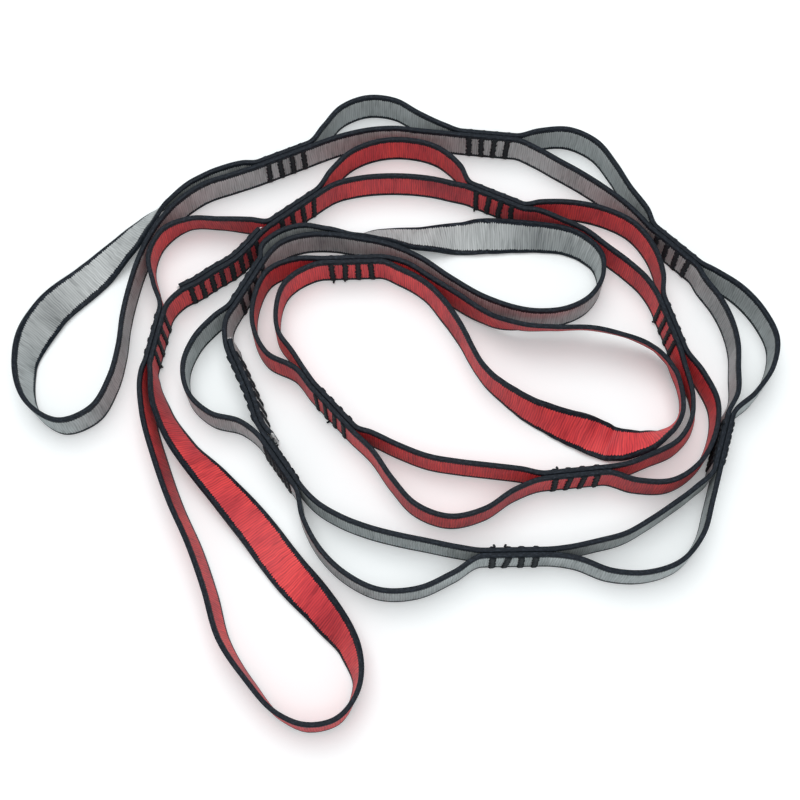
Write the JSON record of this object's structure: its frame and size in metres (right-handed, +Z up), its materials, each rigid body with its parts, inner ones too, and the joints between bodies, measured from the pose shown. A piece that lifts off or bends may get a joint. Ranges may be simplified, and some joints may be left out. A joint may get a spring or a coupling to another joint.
{
  "type": "hammock extension strap",
  "caption": "Flat webbing hammock extension straps, folded double and bartacked into a row of pockets for carabiners, with a twisted loop at each end, lying nested on edge.",
  "frame": {"origin": "middle of the bounding box in plan, at the floor that the straps lie on", "axes": "+Z up from the floor; +X to the right and +Y away from the viewer, as the straps lie in the picture"},
  "size_m": [0.409, 0.3584, 0.028],
  "materials": {
    "grey_webbing": "matte",
    "red_webbing": "matte",
    "black_thread": "matte"
  },
  "bodies": {
    "root": {"grey_bartack_1_stitching": "black_thread", "grey_bartack_2_stitching": "black_thread", "grey_bartack_3_stitching": "black_thread", "grey_bartack_4_stitching": "black_thread", "grey_bartack_5_stitching": "black_thread", "grey_bartack_6_stitching": "black_thread", "grey_bartack_7_stitching": "black_thread", "grey_loop_a": "grey_webbing", "grey_loop_b": "grey_webbing", "grey_pocket_1_inner_strand": "grey_webbing", "grey_pocket_1_outer_strand": "grey_webbing", "grey_pocket_2_inner_strand": "grey_webbing", "grey_pocket_2_outer_strand": "grey_webbing", "grey_pocket_3_inner_strand": "grey_webbing", "grey_pocket_3_outer_strand": "grey_webbing", "grey_pocket_4_inner_strand": "grey_webbing", "grey_pocket_4_outer_strand": "grey_webbing", "grey_pocket_5_inner_strand": "grey_webbing", "grey_pocket_5_outer_strand": "grey_webbing", "grey_pocket_6_inner_strand": "grey_webbing", "grey_pocket_6_outer_strand": "grey_webbing", "grey_splice_overlap": "grey_webbing", "grey_splice_overlap_stitching": "black_thread", "grey_splice_strand_stitching": "black_thread", "red_bartack_1_stitching": "black_thread", "red_bartack_2_stitching": "black_thread", "red_bartack_3_stitching": "black_thread", "red_bartack_4_stitching": "black_thread", "red_bartack_5_stitching": "black_thread", "red_bartack_6_stitching": "black_thread", "red_bartack_7_stitching": "black_thread", "red_loop_a": "red_webbing", "red_loop_b": "red_webbing", "red_pocket_1_inner_strand": "red_webbing", "red_pocket_1_outer_strand": "red_webbing", "red_pocket_2_inner_strand": "red_webbing", "red_pocket_2_outer_strand": "red_webbing", "red_pocket_3_inner_strand": "red_webbing", "red_pocket_3_outer_strand": "red_webbing", "red_pocket_4_inner_strand": "red_webbing", "red_pocket_4_outer_strand": "red_webbing", "red_pocket_5_inner_strand": "red_webbing", "red_pocket_5_outer_strand": "red_webbing", "red_pocket_6_inner_strand": "red_webbing", "red_pocket_6_outer_strand": "red_webbing", "red_splice_overlap": "red_webbing", "red_splice_overlap_stitching": "black_thread", "red_splice_strand_stitching": "black_thread"}
  },
  "joints": []
}
